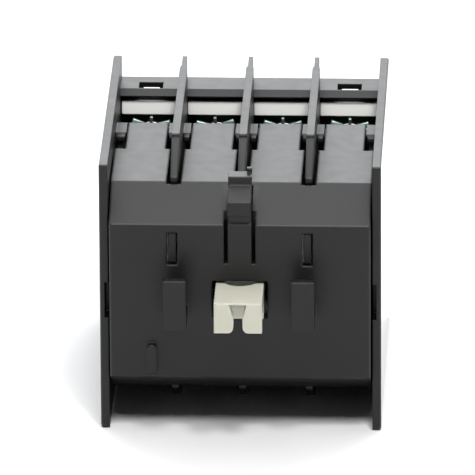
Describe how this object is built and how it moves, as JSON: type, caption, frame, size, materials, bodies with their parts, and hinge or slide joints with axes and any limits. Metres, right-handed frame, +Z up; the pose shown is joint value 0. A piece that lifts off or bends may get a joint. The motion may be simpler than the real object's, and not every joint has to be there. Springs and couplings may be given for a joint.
{
  "type": "auxiliary contact block",
  "caption": "Front-mounting auxiliary contact block with sliding contact carrier, bridge contacts, screw terminals, mounting hooks and a latch tongue.",
  "frame": {"origin": "centre of the mounting face, on the contact carrier's axis", "axes": "+Y from the mounting face to the front, X across the poles, +Z up when mounted"},
  "size_m": [0.045, 0.0591, 0.0454],
  "materials": {
    "housing_plastic": "fine satin moulding",
    "cover_plastic": "fine satin moulding",
    "carrier_plastic": "satin",
    "label_plastic": "satin",
    "contact_brass": "stamped",
    "zinc_steel": "zinc plated",
    "spring_steel": "drawn wire"
  },
  "bodies": {
    "housing": {"front_housing": "housing_plastic", "rear_cover": "cover_plastic", "return_spring_left": "spring_steel", "return_spring_right": "spring_steel", "fixed_contact_1_top": "contact_brass", "label_plate_1_top": "label_plastic", "fixed_contact_1_bottom": "contact_brass", "label_plate_1_bottom": "label_plastic", "fixed_contact_2_top": "contact_brass", "label_plate_2_top": "label_plastic", "fixed_contact_2_bottom": "contact_brass", "label_plate_2_bottom": "label_plastic", "fixed_contact_3_top": "contact_brass", "label_plate_3_top": "label_plastic", "fixed_contact_3_bottom": "contact_brass", "label_plate_3_bottom": "label_plastic", "fixed_contact_4_top": "contact_brass", "label_plate_4_top": "label_plastic", "fixed_contact_4_bottom": "contact_brass", "label_plate_4_bottom": "label_plastic"},
    "carrier": {"contact_carrier": "carrier_plastic", "contact_spring_1": "spring_steel", "contact_spring_2": "spring_steel", "contact_spring_3": "spring_steel", "contact_spring_4": "spring_steel"},
    "bridge_1": {"bridge_contact_1": "contact_brass"},
    "clamp_1_top": {"clamp_washer_1_top": "zinc_steel"},
    "screw_1_top": {"terminal_screw_1_top": "zinc_steel"},
    "clamp_1_bottom": {"clamp_washer_1_bottom": "zinc_steel"},
    "screw_1_bottom": {"terminal_screw_1_bottom": "zinc_steel"},
    "bridge_2": {"bridge_contact_2": "contact_brass"},
    "clamp_2_top": {"clamp_washer_2_top": "zinc_steel"},
    "screw_2_top": {"terminal_screw_2_top": "zinc_steel"},
    "clamp_2_bottom": {"clamp_washer_2_bottom": "zinc_steel"},
    "screw_2_bottom": {"terminal_screw_2_bottom": "zinc_steel"},
    "bridge_3": {"bridge_contact_3": "contact_brass"},
    "clamp_3_top": {"clamp_washer_3_top": "zinc_steel"},
    "screw_3_top": {"terminal_screw_3_top": "zinc_steel"},
    "clamp_3_bottom": {"clamp_washer_3_bottom": "zinc_steel"},
    "screw_3_bottom": {"terminal_screw_3_bottom": "zinc_steel"},
    "bridge_4": {"bridge_contact_4": "contact_brass"},
    "clamp_4_top": {"clamp_washer_4_top": "zinc_steel"},
    "screw_4_top": {"terminal_screw_4_top": "zinc_steel"},
    "clamp_4_bottom": {"clamp_washer_4_bottom": "zinc_steel"},
    "screw_4_bottom": {"terminal_screw_4_bottom": "zinc_steel"}
  },
  "joints": [
    {"name": "carrier_slide", "type": "slide", "parent": "housing", "child": "carrier", "axis": [0, -1, 0], "range_m": [0, 0.0045], "stiffness_N_per_m": 150, "deforming": ["return_spring_left", "return_spring_right"]},
    {"name": "bridge_1_slide", "type": "slide", "parent": "carrier", "child": "bridge_1", "axis": [0, 1, 0], "range_m": [0, 0.0012], "stiffness_N_per_m": 100, "deforming": ["contact_spring_1"]},
    {"name": "clamp_1_top_slide", "type": "slide", "parent": "housing", "child": "clamp_1_top", "axis": [0, -1, 0], "range_m": [0, 0.0023]},
    {"name": "screw_1_top_turn", "type": "hinge", "parent": "clamp_1_top", "child": "screw_1_top", "pos_m": [-0.01619, 0.0433, 0.0102], "axis": [0, -1, 0], "range_deg": [0, 1380]},
    {"name": "clamp_1_bottom_slide", "type": "slide", "parent": "housing", "child": "clamp_1_bottom", "axis": [0, -1, 0], "range_m": [0, 0.0023]},
    {"name": "screw_1_bottom_turn", "type": "hinge", "parent": "clamp_1_bottom", "child": "screw_1_bottom", "pos_m": [-0.01619, 0.0433, -0.0102], "axis": [0, -1, 0], "range_deg": [0, 1380]},
    {"name": "bridge_2_slide", "type": "slide", "parent": "carrier", "child": "bridge_2", "axis": [0, -1, 0], "range_m": [0, 0.0012], "stiffness_N_per_m": 100, "deforming": ["contact_spring_2"]},
    {"name": "clamp_2_top_slide", "type": "slide", "parent": "housing", "child": "clamp_2_top", "axis": [0, -1, 0], "range_m": [0, 0.0023]},
    {"name": "screw_2_top_turn", "type": "hinge", "parent": "clamp_2_top", "child": "screw_2_top", "pos_m": [-0.00539, 0.0433, 0.0102], "axis": [0, -1, 0], "range_deg": [0, 1380]},
    {"name": "clamp_2_bottom_slide", "type": "slide", "parent": "housing", "child": "clamp_2_bottom", "axis": [0, -1, 0], "range_m": [0, 0.0023]},
    {"name": "screw_2_bottom_turn", "type": "hinge", "parent": "clamp_2_bottom", "child": "screw_2_bottom", "pos_m": [-0.00539, 0.0433, -0.0102], "axis": [0, -1, 0], "range_deg": [0, 1380]},
    {"name": "bridge_3_slide", "type": "slide", "parent": "carrier", "child": "bridge_3", "axis": [0, -1, 0], "range_m": [0, 0.0012], "stiffness_N_per_m": 100, "deforming": ["contact_spring_3"]},
    {"name": "clamp_3_top_slide", "type": "slide", "parent": "housing", "child": "clamp_3_top", "axis": [0, -1, 0], "range_m": [0, 0.0023]},
    {"name": "screw_3_top_turn", "type": "hinge", "parent": "clamp_3_top", "child": "screw_3_top", "pos_m": [0.00539, 0.0433, 0.0102], "axis": [0, -1, 0], "range_deg": [0, 1380]},
    {"name": "clamp_3_bottom_slide", "type": "slide", "parent": "housing", "child": "clamp_3_bottom", "axis": [0, -1, 0], "range_m": [0, 0.0023]},
    {"name": "screw_3_bottom_turn", "type": "hinge", "parent": "clamp_3_bottom", "child": "screw_3_bottom", "pos_m": [0.00539, 0.0433, -0.0102], "axis": [0, -1, 0], "range_deg": [0, 1380]},
    {"name": "bridge_4_slide", "type": "slide", "parent": "carrier", "child": "bridge_4", "axis": [0, 1, 0], "range_m": [0, 0.0012], "stiffness_N_per_m": 100, "deforming": ["contact_spring_4"]},
    {"name": "clamp_4_top_slide", "type": "slide", "parent": "housing", "child": "clamp_4_top", "axis": [0, -1, 0], "range_m": [0, 0.0023]},
    {"name": "screw_4_top_turn", "type": "hinge", "parent": "clamp_4_top", "child": "screw_4_top", "pos_m": [0.01619, 0.0433, 0.0102], "axis": [0, -1, 0], "range_deg": [0, 1380]},
    {"name": "clamp_4_bottom_slide", "type": "slide", "parent": "housing", "child": "clamp_4_bottom", "axis": [0, -1, 0], "range_m": [0, 0.0023]},
    {"name": "screw_4_bottom_turn", "type": "hinge", "parent": "clamp_4_bottom", "child": "screw_4_bottom", "pos_m": [0.01619, 0.0433, -0.0102], "axis": [0, -1, 0], "range_deg": [0, 1380]}
  ],
  "couplings": [
    {"joint": "screw_1_top_turn", "follows": "clamp_1_top_slide", "rad_per_m": 10472},
    {"joint": "screw_1_bottom_turn", "follows": "clamp_1_bottom_slide", "rad_per_m": 10472},
    {"joint": "screw_2_top_turn", "follows": "clamp_2_top_slide", "rad_per_m": 10472},
    {"joint": "screw_2_bottom_turn", "follows": "clamp_2_bottom_slide", "rad_per_m": 10472},
    {"joint": "screw_3_top_turn", "follows": "clamp_3_top_slide", "rad_per_m": 10472},
    {"joint": "screw_3_bottom_turn", "follows": "clamp_3_bottom_slide", "rad_per_m": 10472},
    {"joint": "screw_4_top_turn", "follows": "clamp_4_top_slide", "rad_per_m": 10472},
    {"joint": "screw_4_bottom_turn", "follows": "clamp_4_bottom_slide", "rad_per_m": 10472}
  ]
}
